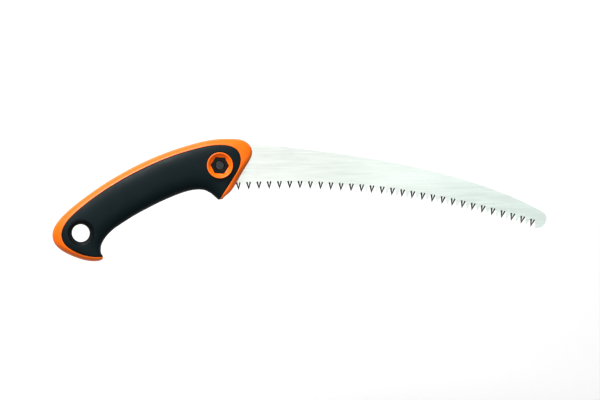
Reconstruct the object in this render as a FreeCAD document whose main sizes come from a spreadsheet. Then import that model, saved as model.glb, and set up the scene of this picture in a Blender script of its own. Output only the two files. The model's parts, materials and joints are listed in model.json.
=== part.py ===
# Fixed-blade pruning saw with a curved blade held in a two-shell handle by one clamp bolt.
# The saw lies flat: X runs along it towards the blade tip, Y towards its back, Z through its thickness.
# The origin is the centre of the hang hole, on the middle plane of the blade. Millimetres.
import FreeCAD, Part
import math
import os

from FreeCAD import Placement, Rotation, Vector

DIMENSIONS = (
    ("blade_thickness", 1.6),
    ("tooth_pitch", 5.5),
    ("tooth_depth", 8.0),
    ("tooth_count", 60),
    ("blade_clearance", 0.1),
    ("slot_width", 10.6),
    ("bolt_x", 148.5),
    ("bolt_y", 72.4),
    ("bolt_diameter", 10.0),
    ("bolt_tip", 9.4),
    ("bolt_tip_bevel", 0.8),
    ("head_flats", 16.0),
    ("head_height", 6.4),
    ("running_gap", 0.05),
    ("hex_turn", -3.0),
    ("nut_flats", 17.0),
    ("nut_height", 6.0),
    ("pocket_gap", 0.1),
    ("bush_diameter", 16.0),
    ("bush_height", 2.0),
    ("washer_diameter", 20.0),
    ("washer_bore", 10.5),
    ("washer_height", 2.0),
    ("lock_diameter", 18.0),
    ("lock_height", 2.2),
    ("lock_split", 1.5),
    ("collar_diameter", 28.0),
    ("collar_top", 13.0),
    ("far_collar_top", 13.6),
    ("dish_diameter", 26.0),
    ("dish_floor_diameter", 19.8),
    ("dish_floor", 9.8),
    ("counterbore_diameter", 22.0),
    ("hang_diameter", 19.0),
    ("hang_mouth_diameter", 25.6),
    ("eyelet_diameter", 27.0),
    ("eyelet_height", 21.6),
    ("eyelet_straight", 12.0),
    ("grip_depth", 3.0),
    ("core_gap", 0.05),
    ("guide_x", 122.0),
    ("guide_diameter", 10.0),
    ("guide_height", 14.0),
    ("pin_diameter", 4.0),
    ("pin_height", 14.0),
    ("screw_diameter", 3.8),
    ("screw_reach", 8.0),
    ("screw_seat", 7.0),
    ("screw_head_diameter", 7.2),
    ("screw_head_height", 2.6),
    ("screw_key_flats", 2.5),
    ("cell_depth", 7.0),
    ("cell_rib", 5.0),
)

# Handle sections from the hook of the tail to the tip of the guard:
# belly point x and y, back point x and y, half thickness.
STATIONS = (
    (24.2, -24.6, 23.5, -28.0, 3.8),
    (22.0, -21.5, 18.5, -30.0, 6.8),
    (21.5, -17.5, 8.0, -29.8, 8.6),
    (21.9, -13.5, -6.0, -25.9, 9.8),
    (23.4, -9.8, -19.5, -19.3, 10.6),
    (25.9, -5.5, -28.6, -10.2, 11.0),
    (29.0, -1.7, -30.2, 1.0, 11.0),
    (32.7, 2.1, -24.8, 12.0, 11.2),
    (38.2, 6.5, -12.2, 25.2, 11.5),
    (46.0, 11.7, 7.0, 40.4, 12.0),
    (56.2, 18.2, 28.0, 54.8, 12.8),
    (69.0, 25.3, 50.0, 67.7, 13.3),
    (84.0, 33.0, 72.0, 78.6, 13.5),
    (100.0, 40.1, 94.5, 87.8, 13.1),
    (113.3, 44.8, 118.0, 95.4, 12.5),
    (124.5, 46.8, 141.0, 100.6, 12.0),
    (132.6, 46.2, 162.0, 101.6, 11.5),
    (136.5, 44.5, 178.0, 97.8, 10.8),
    (139.5, 42.8, 183.7, 88.0, 10.2),
    (142.0, 40.7, 178.6, 74.5, 9.4),
    (144.3, 38.7, 168.5, 57.3, 8.2),
    (146.3, 36.9, 158.6, 42.8, 6.4),
    (147.9, 35.9, 152.3, 36.8, 3.4),
)
SECTION_POINTS = 13
SECTION_POWER = 2.3
RIB_STATIONS = (9, 10, 11, 12, 13)
SCREW_STATIONS = (9, 11, 13)
PIN_STATIONS = (10, 12)
CELL_FROM = 0.28
CELL_TO = 0.72

# Edge between the grip and the core, from the hook round the tail, along the back and down to the guard.
GRIP_EDGE = (
    (24.5, -25.4), (16.6, -26.0), (3.8, -24.2), (-9.6, -18.6), (-18.8, -10.0), (-20.8, -1.6), (-16.9, 9.4),
    (-3.1, 24.2), (16.2, 39.4), (41.6, 55.8), (74.2, 72.8), (100.0, 83.3), (125.8, 91.0), (145.6, 94.4),
    (157.9, 93.6), (167.4, 88.8), (171.0, 79.8), (165.3, 62.8), (154.6, 45.8), (149.0, 36.6),
)
GRIP_OUTSIDE = ((146.0, 25.0), (90.0, 15.0), (45.0, -15.0), (33.0, -27.0))

BACK_EDGE = (
    (162.0, 95.6), (184.2, 95.5), (246.5, 89.8), (310.9, 80.8), (375.4, 67.9), (439.8, 49.3), (482.8, 31.3),
    (494.5, 25.3), (500.0, 21.2), (501.4, 16.8), (499.8, 11.4), (495.6, 7.4),
)
TOOTH_LINE = (
    (169.2, 46.1), (212.1, 47.7), (245.4, 47.6), (277.6, 45.9), (312.0, 43.4), (344.2, 39.3), (376.4, 33.9),
    (407.6, 27.8), (438.7, 20.3), (470.9, 11.7), (500.0, 2.6),
)
TANG_LOWER = ((160.5, 53.4), (150.0, 58.0), (111.0, 58.0), (108.0, 61.0))
TANG_UPPER = ((108.0, 85.0), (111.0, 88.0), (152.0, 88.0))
# Room for the blade in the handle, open to the front so that the blade draws straight out.
BLADE_ROOM = (
    (107.0, 57.0), (149.0, 57.0), (157.0, 45.2), (200.0, 45.2), (200.0, 96.8), (156.0, 96.8), (148.0, 89.0),
    (107.0, 89.0),
)

doc = FreeCAD.newDocument("pruning_saw")
sheet = doc.addObject("Spreadsheet::Sheet", "dims")
for row, (alias, number) in enumerate(DIMENSIONS, start=1):
    sheet.set("A%d" % row, alias)
    sheet.set("B%d" % row, str(number))
    sheet.setAlias("B%d" % row, alias)
doc.recompute()

UP = Vector(0, 0, 1)
FAR_REACH = 40.0
FLAT_LIMIT = 0.01
HEART_LEVEL = -1.0
HEART_REACH = 8.0
nodes = []


def size(alias):
    """Value of one driving dimension."""
    return float(sheet.get(alias))


def node(item):
    """Keeps an object as one piece of the saw, labelled with its own name."""
    item.Label = item.Name
    nodes.append(item)
    return item


def primitive(kind, name, **rules):
    """Part primitive whose properties follow the driving dimensions."""
    item = doc.addObject("Part::" + kind, name)
    for prop, rule in rules.items():
        item.setExpression(prop.replace("_", "."), rule)
    return item


def cylinder(name, radius, height, base="0"):
    """Upright cylinder on the local axis, from base upwards."""
    return primitive("Cylinder", name, Radius=radius, Height=height, Placement_Base_z=base)


def hexagon(name, flats, height, base="0"):
    """Upright hexagonal prism, given across its flats."""
    across = "(%s) / sqrt(3)" % flats
    return primitive("Prism", name, Circumradius=across, Height=height, Placement_Base_z=base)


def cut(name, base, *tools):
    """Base less its tools."""
    item = doc.addObject("Part::Cut", name)
    item.Base = base
    item.Tool = tools[0] if len(tools) == 1 else fuse(name + "_tools", *tools)
    return item


def fuse(name, *parts):
    """All the parts as one solid."""
    item = doc.addObject("Part::MultiFuse", name)
    item.Shapes = list(parts)
    return item


def place(item, spot, turn=0.0):
    """Sets where a piece stands, turned about its upright axis."""
    item.Placement = Placement(spot, Rotation(UP, turn))
    return item


def formed(name, shape):
    """Piece with a freely curved shape."""
    item = doc.addObject("Part::Feature", name)
    item.Shape = shape
    item.Placement = Placement()
    return node(item)


def flat(point):
    """Point of the middle plane."""
    return Vector(point[0], point[1], 0)


def spline(points):
    """Smooth curve through points of the middle plane."""
    curve = Part.BSplineCurve()
    curve.interpolate([flat(point) for point in points])
    return curve


def lines(points):
    """Straight edges joining points in order."""
    return [Part.LineSegment(a, b).toShape() for a, b in zip(points, points[1:])]


def slab(edges, low, high):
    """Solid of a closed outline between two levels."""
    wire = Part.Wire(Part.__sortEdges__(edges))
    face = Part.Face(wire)
    face.translate(UP * low)
    return face.extrude(UP * (high - low))


def post(spot, radius, low, high):
    """Upright round solid between two levels."""
    return Part.makeCylinder(radius, high - low, Vector(spot.x, spot.y, low))


def hex_post(spot, flats, low, high):
    """Upright hexagonal solid between two levels, turned as the nut is."""
    reach = flats / math.sqrt(3)
    turn = math.radians(size("hex_turn"))
    corners = []
    for index in range(7):
        angle = turn + index * math.pi / 3
        corners.append(Vector(spot.x + reach * math.cos(angle), spot.y + reach * math.sin(angle), 0))
    corners[-1] = corners[0]
    return slab(lines(corners), low, high)


def section_row(belly, back, half, level):
    """Points of one half oval from the back point over the side to the belly point, rising from a level."""
    centre = (belly + back) * 0.5
    arm = (back - belly) * 0.5
    row = []
    for index in range(SECTION_POINTS):
        angle = math.pi * index / (SECTION_POINTS - 1)
        across = math.copysign(abs(math.cos(angle)) ** (2 / SECTION_POWER), math.cos(angle))
        upward = 0.0 if index in (0, SECTION_POINTS - 1) else math.sin(angle) ** (2 / SECTION_POWER)
        row.append(centre + arm * across + UP * (level + half * upward))
    return row


def half_form(inset, level):
    """Near half of the handle's form, shrunk by an inset and carried down to a level."""
    rows = []
    for belly_x, belly_y, back_x, back_y, half in STATIONS:
        belly = Vector(belly_x, belly_y, 0)
        back = Vector(back_x, back_y, 0)
        if (back - belly).Length < HEART_REACH * inset:
            continue
        step = (back - belly).normalize() * inset
        rows.append(section_row(belly + step, back - step, half - inset - level, level))
    surface = Part.BSplineSurface()
    surface.interpolate(rows)
    side = surface.toShape()
    rims = [edge for edge in side.Edges if edge.BoundBox.ZLength < FLAT_LIMIT]
    arches = [edge for edge in side.Edges if edge.BoundBox.ZLength >= FLAT_LIMIT]
    sills = []
    for arch in arches:
        sills.append(Part.LineSegment(arch.Vertexes[0].Point, arch.Vertexes[-1].Point).toShape())
    floor = Part.Face(Part.Wire(Part.__sortEdges__(rims + sills)))
    ends = [Part.Face(Part.Wire([arch, sill])) for arch, sill in zip(arches, sills)]
    solid = Part.Solid(Part.Shell([side, floor] + ends))
    if solid.Volume < 0:
        solid.reverse()
    return solid


def station_point(index, share):
    """Point on the chord of a handle section, at a share of the way from belly to back."""
    belly_x, belly_y, back_x, back_y, _ = STATIONS[index]
    return Vector(belly_x, belly_y, 0) * (1 - share) + Vector(back_x, back_y, 0) * share


def blade_shape():
    """Blade with its teeth and a forked tang that opens to the rear."""
    half = size("blade_thickness") / 2
    pitch = size("tooth_pitch")
    line = spline(TOOTH_LINE)
    outline = [flat(point) for point in TANG_UPPER]
    back = spline(BACK_EDGE)
    outline.append(back.value(back.FirstParameter))
    teeth = []
    for index in range(int(size("tooth_count"))):
        place_on_line = line.parameterAtDistance(index * pitch, line.FirstParameter)
        tip = line.value(place_on_line)
        along = Vector(*line.tangent(place_on_line)[0])
        inward = Vector(-along.y, along.x, 0)
        teeth.append(tip - along * (pitch / 2) + inward * size("tooth_depth"))
        teeth.append(tip)
    lower = [back.value(back.LastParameter)] + teeth[::-1] + [flat(point) for point in TANG_LOWER]
    edges = lines(outline) + [back.toShape()] + lines(lower + outline[:1])
    plate = slab(edges, -half, half)
    slot_half = size("slot_width") / 2
    rear = min(point[0] for point in TANG_UPPER) - slot_half
    corner = Vector(rear, size("bolt_y") - slot_half, -half)
    slot = Part.makeBox(size("bolt_x") - rear, 2 * slot_half, 2 * half, corner)
    return plate.cut([slot, post(BOLT, slot_half, -half, half)])


def screw_spots():
    """Places of the three closing screws."""
    return [station_point(index, 0.5) for index in SCREW_STATIONS]


def pin_spots():
    """Places of the two locating pins."""
    return [station_point(index, 0.5) for index in PIN_STATIONS]


def cells(low, high):
    """Hollows between the ribs, in from the joint face of a shell."""
    shapes = []
    for first, second in zip(RIB_STATIONS, RIB_STATIONS[1:]):
        along = (station_point(second, 0.5) - station_point(first, 0.5)).normalize() * size("cell_rib")
        corners = [
            station_point(first, CELL_FROM) + along,
            station_point(first, CELL_TO) + along,
            station_point(second, CELL_TO) - along,
            station_point(second, CELL_FROM) - along,
        ]
        shapes.append(slab(lines(corners + corners[:1]), low, high))
    return shapes


def handle_shells():
    """Core and grip of the near side, above the middle plane, and of the far side, below it."""
    form = half_form(0.0, 0.0)
    edge = spline(GRIP_EDGE)
    outside = [flat(point) for point in (GRIP_EDGE[-1],) + GRIP_OUTSIDE + (GRIP_EDGE[0],)]
    grip_zone = slab([edge.toShape()] + lines(outside), HEART_LEVEL, FAR_REACH)
    grip = form.common(grip_zone).cut(half_form(size("grip_depth"), HEART_LEVEL))
    core = form.cut(grip)
    gap = size("core_gap")
    eyelet_hole = post(Vector(), size("eyelet_diameter") / 2 + gap, -FAR_REACH, FAR_REACH)
    collar_hole = post(BOLT, size("collar_diameter") / 2 + gap, -FAR_REACH, FAR_REACH)
    grip = grip.cut([eyelet_hole, collar_hole, blade_room()])
    near_core = core.fuse(post(BOLT, size("collar_diameter") / 2, 0, size("collar_top")))
    far_core = core.mirror(Vector(), UP).fuse(post(BOLT, size("collar_diameter") / 2, -size("far_collar_top"), 0))
    near_core = near_core.cut(shared_room() + near_room() + [eyelet_hole])
    far_core = far_core.cut(shared_room() + far_room() + [eyelet_hole])
    far_grip = grip.mirror(Vector(), UP).cut(screw_head_room())
    return near_core, far_core, grip, far_grip


def blade_room():
    """Slot for the blade, open to the front."""
    room = size("blade_thickness") / 2 + size("blade_clearance")
    return slab(lines([flat(point) for point in BLADE_ROOM + BLADE_ROOM[:1]]), -room, room)


def shared_room():
    """Hollows that both shells have: room for the blade, bushes, pins and cells."""
    gap = size("core_gap")
    depth = size("blade_thickness") / 2 + size("bush_height")
    guide_half = size("guide_height") / 2
    pin_half = size("pin_height") / 2
    shapes = [
        blade_room(),
        post(BOLT, size("bush_diameter") / 2 + gap, -depth, depth),
        post(GUIDE, size("guide_diameter") / 2 + gap, -guide_half, guide_half),
    ]
    for spot in pin_spots():
        shapes.append(post(spot, size("pin_diameter") / 2 + gap, -pin_half, pin_half))
    return shapes + cells(-size("cell_depth"), size("cell_depth"))


def near_room():
    """Hexagonal nut pocket with its dished mouth, and the blind screw holes."""
    floor = size("blade_thickness") / 2 + size("bush_height")
    dish_floor = size("dish_floor")
    dish_height = size("collar_top") - dish_floor
    dish_base = Vector(BOLT.x, BOLT.y, dish_floor)
    shapes = [
        hex_post(BOLT, size("nut_flats") + 2 * size("pocket_gap"), floor, FAR_REACH),
        Part.makeCone(size("dish_floor_diameter") / 2, size("dish_diameter") / 2, dish_height, dish_base),
    ]
    for spot in screw_spots():
        shapes.append(post(spot, size("screw_diameter") / 2 + size("core_gap"), 0, size("screw_reach")))
    return shapes


def far_room():
    """Counterbore of the clamp bolt, and the screw holes with their head seats."""
    floor = size("blade_thickness") / 2 + size("bush_height")
    shapes = [post(BOLT, size("counterbore_diameter") / 2, -FAR_REACH, -floor)]
    for spot in screw_spots():
        shapes.append(post(spot, size("screw_diameter") / 2 + size("core_gap"), -size("screw_seat"), 0))
    return shapes + screw_head_room()


def screw_head_room():
    """Wells that take the screw heads, open to the far face."""
    radius = size("screw_head_diameter") / 2 + 2 * size("pocket_gap")
    return [post(spot, radius, -FAR_REACH, -size("screw_seat")) for spot in screw_spots()]


BOLT = Vector(size("bolt_x"), size("bolt_y"), 0)
GUIDE = Vector(size("guide_x"), size("bolt_y"), 0)

formed("blade", blade_shape())
core_near, core_far, grip_near, grip_far = handle_shells()
formed("core_near", core_near)
formed("core_far", core_far)
formed("grip_near", grip_near)
formed("grip_far", grip_far)


def make_eyelet():
    """Ring that lines the hang hole, with a bevelled mouth on each side."""
    ring = cylinder("eyelet_ring", "dims.eyelet_diameter / 2", "dims.eyelet_height", "-dims.eyelet_height / 2")
    bore = cylinder("eyelet_bore", "dims.hang_diameter / 2", "dims.eyelet_height", "-dims.eyelet_height / 2")
    slope = "(dims.eyelet_height - dims.eyelet_straight) / 2"
    upper = primitive(
        "Cone", "eyelet_upper_mouth", Radius1="dims.hang_diameter / 2", Radius2="dims.hang_mouth_diameter / 2",
        Height=slope, Placement_Base_z="dims.eyelet_straight / 2")
    lower = primitive(
        "Cone", "eyelet_lower_mouth", Radius1="dims.hang_mouth_diameter / 2", Radius2="dims.hang_diameter / 2",
        Height=slope, Placement_Base_z="-dims.eyelet_height / 2")
    node(cut("hang_eyelet", ring, bore, upper, lower))


def make_nut():
    """Hexagonal nut held in the near shell."""
    bore_radius = "dims.bolt_diameter / 2 + dims.running_gap"
    outer = hexagon("nut_hexagon", "dims.nut_flats", "dims.nut_height")
    bore = cylinder("nut_bore", bore_radius, "dims.nut_height")
    level = size("blade_thickness") / 2 + size("bush_height")
    node(place(cut("clamp_nut", outer, bore), BOLT + UP * level, size("hex_turn")))


def make_bolt():
    """Clamp bolt, its head on the far side and its bevelled end in the nut."""
    seat = "-(dims.blade_thickness / 2 + dims.bush_height + dims.washer_height + dims.lock_height)"
    bevel_level = "dims.bolt_tip - dims.bolt_tip_bevel"
    shank = cylinder("bolt_shank", "dims.bolt_diameter / 2", "%s - (%s)" % (bevel_level, seat), seat)
    end = primitive(
        "Cone", "bolt_end", Radius1="dims.bolt_diameter / 2", Height="dims.bolt_tip_bevel",
        Radius2="dims.bolt_diameter / 2 - dims.bolt_tip_bevel", Placement_Base_z=bevel_level)
    head = hexagon("bolt_head", "dims.head_flats", "dims.head_height", "%s - dims.head_height" % seat)
    node(place(fuse("clamp_bolt", shank, end, head), BOLT))


def make_washer():
    """Flat washer between the far shell's bush and the lock washer."""
    base = "-(dims.blade_thickness / 2 + dims.bush_height + dims.washer_height)"
    outer = cylinder("washer_disc", "dims.washer_diameter / 2", "dims.washer_height", base)
    bore = cylinder("washer_bore_tool", "dims.washer_bore / 2", "dims.washer_height", base)
    node(place(cut("bolt_washer", outer, bore), BOLT))


def make_lock_washer():
    """Split spring washer under the bolt head."""
    base = "-(dims.blade_thickness / 2 + dims.bush_height + dims.washer_height + dims.lock_height)"
    outer = cylinder("lock_disc", "dims.lock_diameter / 2", "dims.lock_height", base)
    bore = cylinder("lock_bore", "dims.washer_bore / 2", "dims.lock_height", base)
    split = primitive(
        "Box", "lock_split_tool", Length="dims.lock_diameter", Width="dims.lock_split", Height="dims.lock_height",
        Placement_Base_y="-dims.lock_split / 2", Placement_Base_z=base)
    node(place(cut("lock_washer", outer, bore, split), BOLT))


def make_bush(name, base):
    """Steel ring that carries the clamp force past the plastic shell."""
    outer = cylinder(name + "_disc", "dims.bush_diameter / 2", "dims.bush_height", base)
    bore_radius = "dims.bolt_diameter / 2 + dims.running_gap"
    bore = cylinder(name + "_bore", bore_radius, "dims.bush_height", base)
    node(place(cut(name, outer, bore), BOLT))


def make_pin(name, spot, diameter, height):
    """Plain dowel across both shells."""
    node(primitive(
        "Cylinder", name, Radius=diameter + " / 2", Height=height, Placement_Base_z="-%s / 2" % height))
    nodes[-1].Placement.Base = Vector(spot.x, spot.y, 0)


def make_screw(name, spot):
    """Closing screw from the far side, with a hexagon socket in its head."""
    head_low = "-(dims.screw_seat + dims.screw_head_height)"
    reach = "dims.screw_reach + dims.screw_seat"
    shank = cylinder(name + "_shank", "dims.screw_diameter / 2", reach, "-dims.screw_seat")
    head = cylinder(name + "_head", "dims.screw_head_diameter / 2", "dims.screw_head_height", head_low)
    socket = hexagon(name + "_socket", "dims.screw_key_flats", "dims.screw_head_height / 2", head_low)
    node(place(cut(name, fuse(name + "_body", shank, head), socket), spot))


make_eyelet()
make_nut()
make_bolt()
make_washer()
make_lock_washer()
make_bush("bush_near", "dims.blade_thickness / 2")
make_bush("bush_far", "-(dims.blade_thickness / 2 + dims.bush_height)")
make_pin("guide_pin", GUIDE, "dims.guide_diameter", "dims.guide_height")
for number, spot in enumerate(pin_spots(), start=1):
    make_pin("locating_pin_%d" % number, spot, "dims.pin_diameter", "dims.pin_height")
for number, spot in enumerate(screw_spots(), start=1):
    make_screw("handle_screw_%d" % number, spot)

doc.recompute()
for item in doc.Objects:
    if "Invalid" in item.State or "Error" in item.State:
        raise RuntimeError("%s did not build" % item.Name)
for item in nodes:
    if item.Shape.isNull() or not item.Shape.isValid():
        raise RuntimeError("%s has no valid shape" % item.Label)

os.makedirs("parts", exist_ok=True)
for item in nodes:
    item.Shape.exportStep("parts/%s.step" % item.Label)
    box = item.Shape.BoundBox
    extent = (box.XMin, box.XMax, box.YMin, box.YMax, box.ZMin, box.ZMax)
    print(item.Label, len(item.Shape.Solids), round(item.Shape.Volume, 1), [round(edge, 2) for edge in extent])
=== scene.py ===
# Looks of the fixed-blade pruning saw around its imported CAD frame. Everything is in metres.
import json
import math

import bmesh
import bpy
from mathutils import Matrix, Vector
from mathutils.geometry import tessellate_polygon


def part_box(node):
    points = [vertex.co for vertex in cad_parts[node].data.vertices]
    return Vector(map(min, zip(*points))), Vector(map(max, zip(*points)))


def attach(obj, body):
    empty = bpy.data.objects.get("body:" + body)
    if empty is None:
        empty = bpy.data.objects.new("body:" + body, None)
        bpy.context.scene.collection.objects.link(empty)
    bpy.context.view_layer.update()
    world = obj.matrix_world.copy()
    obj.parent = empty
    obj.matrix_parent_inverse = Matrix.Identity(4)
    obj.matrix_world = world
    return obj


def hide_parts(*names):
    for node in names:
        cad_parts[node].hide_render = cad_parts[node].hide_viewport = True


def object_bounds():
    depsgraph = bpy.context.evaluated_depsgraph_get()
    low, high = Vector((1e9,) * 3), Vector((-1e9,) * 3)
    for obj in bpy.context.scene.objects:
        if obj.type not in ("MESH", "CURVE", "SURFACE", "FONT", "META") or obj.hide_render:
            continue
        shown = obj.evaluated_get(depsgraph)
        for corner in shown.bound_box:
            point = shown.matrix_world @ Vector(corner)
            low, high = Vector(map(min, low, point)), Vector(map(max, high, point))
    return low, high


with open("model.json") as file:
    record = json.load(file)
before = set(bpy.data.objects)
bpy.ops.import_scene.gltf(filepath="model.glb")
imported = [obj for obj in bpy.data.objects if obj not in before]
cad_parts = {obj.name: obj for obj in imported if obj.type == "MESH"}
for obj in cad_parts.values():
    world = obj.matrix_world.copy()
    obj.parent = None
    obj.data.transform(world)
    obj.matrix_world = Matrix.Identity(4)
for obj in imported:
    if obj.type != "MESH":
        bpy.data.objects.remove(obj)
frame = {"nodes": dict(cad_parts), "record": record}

MM = 0.001
CAD_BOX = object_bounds()
RECORD = frame["record"]
SLOT_OF = {entry["node"]: entry["material_slot"] for entry in RECORD["subparts"]}
BODIES = RECORD["behaviour"]["bodies"]
BODY_OF = {node: body for body, names in BODIES.items() for node in names}


# ---------- node material helpers ----------

# Sockets of a Mix node that mixes colours.
MIX_FIRST = 6
MIX_SECOND = 7
MIX_RESULT = 2


class Shader:
    """A node material with a Principled surface and short ways to add procedural detail."""

    def __init__(self, name, **values):
        self.material = bpy.data.materials.new(name)
        self.material.use_nodes = True
        self.nodes = self.material.node_tree.nodes
        self.links = self.material.node_tree.links
        self.surface = self.nodes["Principled BSDF"]
        for label, value in values.items():
            self.surface.inputs[label.replace("_", " ")].default_value = value
        self.place = self.nodes.new("ShaderNodeTexCoord").outputs["Object"]
        self.height = None

    def link(self, output, target):
        self.links.new(output, target)

    def stretched(self, scale):
        """Object coordinates scaled differently along each axis."""
        mapping = self.nodes.new("ShaderNodeMapping")
        mapping.inputs["Scale"].default_value = scale
        self.link(self.place, mapping.inputs["Vector"])
        return mapping.outputs["Vector"]

    def noise(self, scale, detail=3.0, rough=0.55, vector=None):
        """Fractal noise, scale in cycles per metre."""
        node = self.nodes.new("ShaderNodeTexNoise")
        node.inputs["Scale"].default_value = scale
        node.inputs["Detail"].default_value = detail
        node.inputs["Roughness"].default_value = rough
        self.link(vector or self.place, node.inputs["Vector"])
        return node.outputs["Fac"]

    def cells(self, scale):
        """Distance to the nearest of scattered points, scale in points per metre."""
        node = self.nodes.new("ShaderNodeTexVoronoi")
        node.inputs["Scale"].default_value = scale
        self.link(self.place, node.inputs["Vector"])
        return node.outputs["Distance"]

    def remap(self, value, low, high, out_low=0.0, out_high=1.0):
        """Value carried from one range to another and held inside it."""
        node = self.nodes.new("ShaderNodeMapRange")
        node.inputs["From Min"].default_value = low
        node.inputs["From Max"].default_value = high
        node.inputs["To Min"].default_value = out_low
        node.inputs["To Max"].default_value = out_high
        self.link(value, node.inputs["Value"])
        return node.outputs["Result"]

    def along(self, axis):
        """One object coordinate in metres."""
        node = self.nodes.new("ShaderNodeSeparateXYZ")
        self.link(self.place, node.inputs["Vector"])
        return node.outputs[axis]

    def edges(self):
        """How convex the surface is: above 0.5 on outer edges."""
        return self.nodes.new("ShaderNodeNewGeometry").outputs["Pointiness"]

    def blend(self, factor, first, second):
        """Colour between two colours or outputs."""
        node = self.nodes.new("ShaderNodeMix")
        node.data_type = "RGBA"
        self.link(factor, node.inputs["Factor"])
        for number, value in ((MIX_FIRST, first), (MIX_SECOND, second)):
            if isinstance(value, tuple):
                node.inputs[number].default_value = (*value, 1.0)
            else:
                self.link(value, node.inputs[number])
        return node.outputs[MIX_RESULT]

    def colour(self, output):
        self.link(output, self.surface.inputs["Base Color"])

    def roughness(self, output):
        self.link(output, self.surface.inputs["Roughness"])

    def bump(self, output, depth, strength=1.0):
        """Adds relief of a depth in metres over what was added before."""
        node = self.nodes.new("ShaderNodeBump")
        node.inputs["Distance"].default_value = depth
        node.inputs["Strength"].default_value = strength
        self.link(output, node.inputs["Height"])
        if self.height is not None:
            self.link(self.height, node.inputs["Normal"])
        self.height = node.outputs["Normal"]
        self.link(self.height, self.surface.inputs["Normal"])


# ---------- materials ----------

def orange_plastic():
    """Half-gloss moulded plastic with faint mottling, tiny pits and paler rubbed edges."""
    shader = Shader("core_orange", Roughness=0.32, IOR=1.5, Specular_IOR_Level=0.35)
    mottled = shader.blend(shader.noise(45, 4), (0.90, 0.125, 0.001), (0.98, 0.165, 0.003))
    edge_wear = shader.remap(shader.edges(), 0.53, 0.62, 0.0, 0.35)
    shader.colour(shader.blend(edge_wear, mottled, (1.0, 0.34, 0.03)))
    shader.roughness(shader.remap(shader.noise(260, 4), 0.3, 0.7, 0.26, 0.42))
    shader.bump(shader.noise(2600, 2), 0.00002, 0.35)
    shader.bump(shader.noise(160, 3), 0.00012, 0.25)
    return shader.material


def soft_grip():
    """Black elastomer with a fine grain, a little dust and paler worn edges."""
    shader = Shader("grip_black", Roughness=0.5, IOR=1.45, Specular_IOR_Level=0.13)
    dusty = shader.blend(shader.noise(30, 5), (0.0006, 0.0050, 0.0062), (0.003, 0.0095, 0.0115))
    edge_wear = shader.remap(shader.edges(), 0.53, 0.64, 0.0, 0.5)
    shader.colour(shader.blend(edge_wear, dusty, (0.014, 0.024, 0.028)))
    shader.roughness(shader.remap(shader.noise(70, 4), 0.3, 0.7, 0.4, 0.55))
    shader.bump(shader.cells(2300), 0.00005, 0.45)
    shader.bump(shader.noise(5200, 2), 0.00002, 0.4)
    return shader.material


def black_plastic():
    """Harder satin black plastic of the hang hole's ring."""
    shader = Shader("eyelet_black", Roughness=0.45, IOR=1.5, Specular_IOR_Level=0.2)
    shader.colour(shader.blend(shader.noise(90, 4), (0.002, 0.003, 0.004), (0.006, 0.008, 0.009)))
    shader.roughness(shader.remap(shader.noise(400, 3), 0.3, 0.7, 0.34, 0.5))
    shader.bump(shader.noise(3000, 3), 0.00003, 0.4)
    return shader.material


def blade_steel():
    """Satin ground steel: fine lines along the blade, light staining, duller towards the tip."""
    shader = Shader("blade_steel", Metallic=1.0, Roughness=0.34, Anisotropic=0.3)
    tipward = shader.remap(shader.along("X"), 0.2, 0.5)
    plain = shader.blend(tipward, (0.71, 0.75, 0.705), (0.655, 0.76, 0.71))
    lines = shader.noise(900, 5, 0.6, shader.stretched((0.03, 1.0, 1.0)))
    lined = shader.blend(shader.remap(lines, 0.35, 0.7, 0.0, 0.22), plain, (0.52, 0.56, 0.54))
    stain = shader.remap(shader.noise(38, 5, 0.6), 0.56, 0.72, 0.0, 0.16)
    shader.colour(shader.blend(stain, lined, (0.46, 0.48, 0.44)))
    shader.roughness(shader.remap(lines, 0.3, 0.7, 0.27, 0.42))
    shader.bump(lines, 0.00001, 0.35)
    return shader.material


def tooth_steel():
    """Dark ground bevels: near black by the handle and greyer towards the tip."""
    shader = Shader("tooth_steel", Metallic=0.75, Roughness=0.38)
    tipward = shader.remap(shader.along("X"), 0.24, 0.5)
    base = shader.blend(tipward, (0.012, 0.015, 0.017), (0.085, 0.092, 0.095))
    lines = shader.noise(2400, 4, 0.6, shader.stretched((1.0, 0.06, 1.0)))
    shader.colour(shader.blend(shader.remap(lines, 0.4, 0.8, 0.0, 0.35), base, (0.2, 0.21, 0.22)))
    shader.roughness(shader.remap(lines, 0.3, 0.7, 0.3, 0.46))
    shader.bump(lines, 0.00002, 0.4)
    return shader.material


# Lightening of fastener corners: partly edge wear, partly a painted highlight.
WEAR_AND_HIGHLIGHT_GAIN = 2.2
WEAR_AND_HIGHLIGHT_LIFT = 0.02


def metal(name, dark, light, rough_low, rough_high, metallic=1.0):
    """Plated or oxidised fastener steel with fine blotches and brighter corners, partly edge wear
    and partly a painted highlight.
    """
    shader = Shader(name, Metallic=metallic, Roughness=0.4)
    blotched = shader.blend(shader.noise(420, 4), dark, light)
    # Corner colour about twice as light: partly worn bare steel, partly a painted highlight.
    worn_and_highlit_edge = tuple(min(1.0, part * WEAR_AND_HIGHLIGHT_GAIN + WEAR_AND_HIGHLIGHT_LIFT) for part in light)
    edge_wear = shader.remap(shader.edges(), 0.53, 0.62, 0.0, 0.6)
    shader.colour(shader.blend(edge_wear, blotched, worn_and_highlit_edge))
    shader.roughness(shader.remap(shader.noise(900, 3), 0.3, 0.7, rough_low, rough_high))
    shader.bump(shader.noise(2600, 3), 0.00003, 0.35)
    return shader.material


def pale_floor():
    """Matt near-white floor with a trace of paper tooth."""
    shader = Shader("floor", Roughness=0.8)
    shader.colour(shader.blend(shader.noise(6, 3), (0.96, 0.96, 0.96), (0.98, 0.98, 0.98)))
    shader.bump(shader.noise(900, 2), 0.00003, 0.2)
    return shader.material


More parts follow.
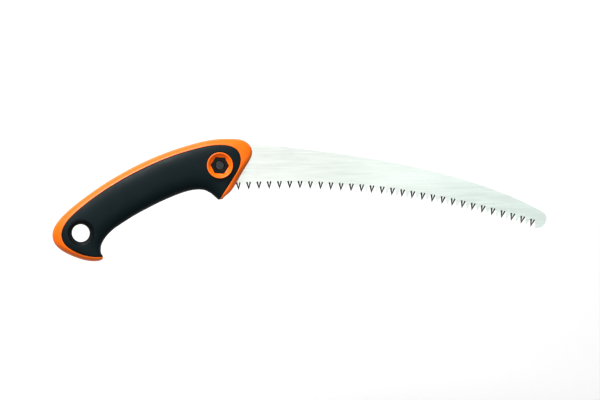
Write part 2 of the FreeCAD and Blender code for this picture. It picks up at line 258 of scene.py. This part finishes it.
MATERIALS = {
    "core_orange": orange_plastic(),
    "grip_black": soft_grip(),
    "eyelet_black": black_plastic(),
    "blade_steel": blade_steel(),
    "tooth_steel": tooth_steel(),
    "nut_black": metal(
        "nut_black", (0.008, 0.009, 0.009), (0.018, 0.019, 0.019), 0.32, 0.48),
    "bolt_steel": metal(
        "bolt_steel", (0.026, 0.029, 0.029), (0.052, 0.056, 0.056), 0.34, 0.5),
    "zinc_steel": metal(
        "zinc_steel", (0.52, 0.54, 0.56), (0.68, 0.70, 0.72), 0.26, 0.4),
    "spring_steel": metal(
        "spring_steel", (0.16, 0.16, 0.17), (0.26, 0.26, 0.27), 0.3, 0.45),
    "screw_black": metal(
        "screw_black", (0.015, 0.016, 0.017), (0.04, 0.042, 0.044), 0.3, 0.45, 0.8),
}


# ---------- mesh helpers ----------

WELD_REACH = 0.001 * MM
SMOOTH_FACTOR = 0.5
EDGE_SEGMENTS = 2
EDGE_ANGLE = math.radians(25)


def new_piece(name, mesh, node, material_names=None):
    """Object that stands for a CAD node, rides on its body and takes its slot."""
    piece = bpy.data.objects.new(name, mesh)
    bpy.context.scene.collection.objects.link(piece)
    for label in material_names or [SLOT_OF[node]]:
        mesh.materials.append(MATERIALS[label])
    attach(piece, BODY_OF[node])
    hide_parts(node)
    return piece


def welded_copy(node):
    """Closed copy of a CAD node's mesh, without its materials."""
    mesh = frame["nodes"][node].data.copy()
    mesh.materials.clear()
    form = bmesh.new()
    form.from_mesh(mesh)
    bmesh.ops.remove_doubles(form, verts=form.verts, dist=WELD_REACH)
    form.to_mesh(mesh)
    form.free()
    return mesh


def settled(piece):
    """Applies a piece's modifiers to its mesh and smooths its shading."""
    graph = bpy.context.evaluated_depsgraph_get()
    mesh = bpy.data.meshes.new_from_object(piece.evaluated_get(graph))
    piece.modifiers.clear()
    piece.data = mesh
    for face in mesh.polygons:
        face.use_smooth = True


def moulded(node, voxel, passes):
    """Moulded piece: the CAD solid on a fine even skin with its edges rounded off."""
    piece = new_piece("moulded_" + node, welded_copy(node), node)
    skin = piece.modifiers.new("skin", "REMESH")
    skin.mode = "VOXEL"
    skin.voxel_size = voxel
    rounding = piece.modifiers.new("rounding", "SMOOTH")
    rounding.factor = SMOOTH_FACTOR
    rounding.iterations = passes
    settled(piece)


def machined(node, width):
    """Metal or hard plastic piece: the CAD solid with narrow rounded edges."""
    piece = new_piece("machined_" + node, welded_copy(node), node)
    edge = piece.modifiers.new("edge", "BEVEL")
    edge.width = width
    edge.segments = EDGE_SEGMENTS
    edge.limit_method = "ANGLE"
    edge.angle_limit = EDGE_ANGLE
    settled(piece)
    shading = piece.modifiers.new("shading", "WEIGHTED_NORMAL")
    shading.keep_sharp = True


# ---------- handle ----------

HANDLE_VOXEL = 0.45 * MM
# Smoothing passes of each moulded piece.
MOULDED = {"core_near": 6, "core_far": 6, "grip_near": 10, "grip_far": 10}
# Edge width of each machined or hard piece.
MACHINED = {
    "hang_eyelet": 0.6 * MM,
    "clamp_nut": 0.5 * MM,
    "clamp_bolt": 0.4 * MM,
    "handle_screw_1": 0.2 * MM,
    "handle_screw_2": 0.2 * MM,
    "handle_screw_3": 0.2 * MM,
}
for moulded_node, smoothing_passes in MOULDED.items():
    moulded(moulded_node, HANDLE_VOXEL, smoothing_passes)
for machined_node, edge_width in MACHINED.items():
    machined(machined_node, edge_width)


# ---------- blade ----------

BEVEL_WIDTH = 1.65 * MM
BEVEL_RISE = 1.0 * MM
APEX_RISE = 3.9 * MM
TIP_ANGLE = math.radians(60)
FLAT_STEEL = "blade_steel"
GROUND_STEEL = "tooth_steel"
GROUND_INDEX = 1


def outline_of(node, level):
    """Ordered outline of a flat node's face at a level, counter-clockwise."""
    form = bmesh.new()
    form.from_mesh(welded_copy(node))
    chosen = set()
    for face in form.faces:
        if all(abs(vert.co.z - level) < WELD_REACH for vert in face.verts):
            chosen.add(face)
    follows = {}
    for face in chosen:
        for loop in face.loops:
            others = [other for other in loop.edge.link_faces if other is not face]
            if not any(other in chosen for other in others):
                follows[loop.vert.index] = loop.link_loop_next.vert.index
    form.verts.ensure_lookup_table()
    start = next(iter(follows))
    order = [start]
    while follows[order[-1]] != start:
        order.append(follows[order[-1]])
    points = [form.verts[index].co.copy() for index in order]
    form.free()
    turning = sum(a.x * b.y - b.x * a.y for a, b in zip(points, points[1:]))
    return points if turning > 0 else points[::-1]


def corner_angle(before, here, after):
    """Angle between the two sides of a corner."""
    return (before - here).angle(after - here)


def tooth_tips(points):
    """Indices of the tooth tips in an outline, from the handle to the blade's tip."""
    count = len(points)
    tips = []
    for index, here in enumerate(points):
        before = points[index - 1]
        after = points[(index + 1) % count]
        convex = (here - before).cross(after - here).z > 0
        if convex and corner_angle(before, here, after) < TIP_ANGLE:
            tips.append(index)
    return sorted(tips, key=lambda index: points[index].x)


def build_blade():
    """Blade plate whose teeth are ground on alternate sides, each flat ending above its tip."""
    low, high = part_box("blade")
    half = (high[2] - low[2]) / 2
    points = outline_of("blade", high[2])
    count = len(points)
    tips = tooth_tips(points)
    side_of = {index: 1 if order % 2 == 0 else -1 for order, index in enumerate(tips)}
    form = bmesh.new()
    rim = {}
    for side in (1, -1):
        rim[side] = [form.verts.new((point.x, point.y, side * half)) for point in points]
    for side in (1, -1):
        loop = []
        for index in range(count):
            if side_of.get(index) == side:
                loop += ground_tooth(form, points, index, rim, side, half)
            else:
                loop.append(rim[side][index])
        for corners in tessellate_polygon([[vert.co for vert in loop]]):
            form.faces.new([loop[corner] for corner in corners])
    flanks = set()
    for index in tips:
        flanks |= {index, (index - 1) % count}
    for index in range(count):
        if index not in flanks:
            after = (index + 1) % count
            form.faces.new((rim[-1][index], rim[-1][after], rim[1][after], rim[1][index]))
    # A ground tooth doesn't use the rim's corner at its tip on the ground side.
    for vert in [vert for vert in form.verts if not vert.link_faces]:
        form.verts.remove(vert)
    mesh = bpy.data.meshes.new("ground_blade")
    bmesh.ops.recalc_face_normals(form, faces=form.faces)
    form.to_mesh(mesh)
    form.free()
    new_piece("ground_blade", mesh, "blade", [FLAT_STEEL, GROUND_STEEL])


def ground_tooth(form, points, index, rim, side, half):
    """Adds the two ground flanks of a tooth and returns the corners of its flat on that side."""
    before = (index - 1) % len(points)
    after = (index + 1) % len(points)
    tip = points[index]
    along = (points[after] - points[before]).normalized()
    rise = ((points[before] + points[after]) / 2 - tip).normalized()
    level = Vector((0, 0, side * half - tip.z))
    first = form.verts.new(points[before] + along * BEVEL_WIDTH + rise * BEVEL_RISE + level)
    apex = form.verts.new(tip + rise * APEX_RISE + level)
    last = form.verts.new(points[after] - along * BEVEL_WIDTH + rise * BEVEL_RISE + level)
    edge = rim[-side][index]
    for outer, inner in ((before, first), (after, last)):
        near_root = rim[side][outer]
        far_root = rim[-side][outer]
        facets = (
            (near_root, inner, far_root),
            (inner, edge, far_root),
            (inner, apex, edge),
        )
        for corners in facets:
            form.faces.new(corners).material_index = GROUND_INDEX
    return [first, apex, last]


build_blade()


# ---------- remaining CAD nodes ----------

for node_name, node_object in frame["nodes"].items():
    for material_slot in node_object.material_slots:
        material_slot.link = "OBJECT"
        material_slot.material = MATERIALS[SLOT_OF[node_name]]


# ---------- floor, light and camera ----------

lowest, highest = CAD_BOX
centre = (Vector(lowest) + Vector(highest)) / 2

FLOOR_REACH = 4.0
FLOOR_CELLS = 8
# The floor lies well below the saw so that no shadow shows beside it, as on a cut-out white ground.
FLOOR_DROP = 0.35
floor_mesh = bpy.data.meshes.new("floor")
floor_form = bmesh.new()
bmesh.ops.create_grid(
    floor_form, x_segments=FLOOR_CELLS, y_segments=FLOOR_CELLS, size=FLOOR_REACH)
floor_form.to_mesh(floor_mesh)
floor_form.free()
floor = bpy.data.objects.new("floor", floor_mesh)
floor.location = (centre.x, centre.y, lowest[2] - FLOOR_DROP)
floor_mesh.materials.append(pale_floor())
bpy.context.scene.collection.objects.link(floor)


def soft_light(name, offset, width, power):
    """Square soft light at an offset from the saw, facing it."""
    data = bpy.data.lights.new(name, "AREA")
    data.size = width
    data.energy = power
    lamp = bpy.data.objects.new(name, data)
    lamp.location = centre + Vector(offset)
    lamp.rotation_euler = (-Vector(offset)).to_track_quat("-Z", "Y").to_euler()
    bpy.context.scene.collection.objects.link(lamp)


soft_light("key", (-0.7, 1.3, 1.1), 0.8, 54)
soft_light("overhead", (-0.1, -0.05, 2.2), 1.9, 15)

WORLD_STRENGTH = 0.21
world = bpy.data.worlds.new("studio")
world.use_nodes = True
background = world.node_tree.nodes["Background"]
background.inputs["Color"].default_value = (1.0, 1.0, 1.0, 1.0)
background.inputs["Strength"].default_value = WORLD_STRENGTH
bpy.context.scene.world = world
bpy.context.scene.view_settings.view_transform = "Standard"

VIEW_WIDTH = 0.6444
CAMERA_DISTANCE = 5.0
SENSOR_WIDTH = 36.0
FROM_LEFT = math.radians(4)
FROM_BELOW = math.radians(2)
VIEW_FROM = Vector((-math.tan(FROM_LEFT), -math.tan(FROM_BELOW), 1.0)).normalized()
VIEW_CENTRE = Vector((0.2352, 0.0360, 0.0))
camera_data = bpy.data.cameras.new("camera")
camera_data.sensor_width = SENSOR_WIDTH
camera_data.lens = camera_data.sensor_width * CAMERA_DISTANCE / VIEW_WIDTH
camera = bpy.data.objects.new("camera", camera_data)
camera.location = VIEW_CENTRE + VIEW_FROM * CAMERA_DISTANCE
camera_right = Vector((0.0, 1.0, 0.0)).cross(VIEW_FROM).normalized()
camera_up = VIEW_FROM.cross(camera_right)
camera.rotation_euler = Matrix((camera_right, camera_up, VIEW_FROM)).transposed().to_euler()
bpy.context.scene.collection.objects.link(camera)
bpy.context.scene.camera = camera
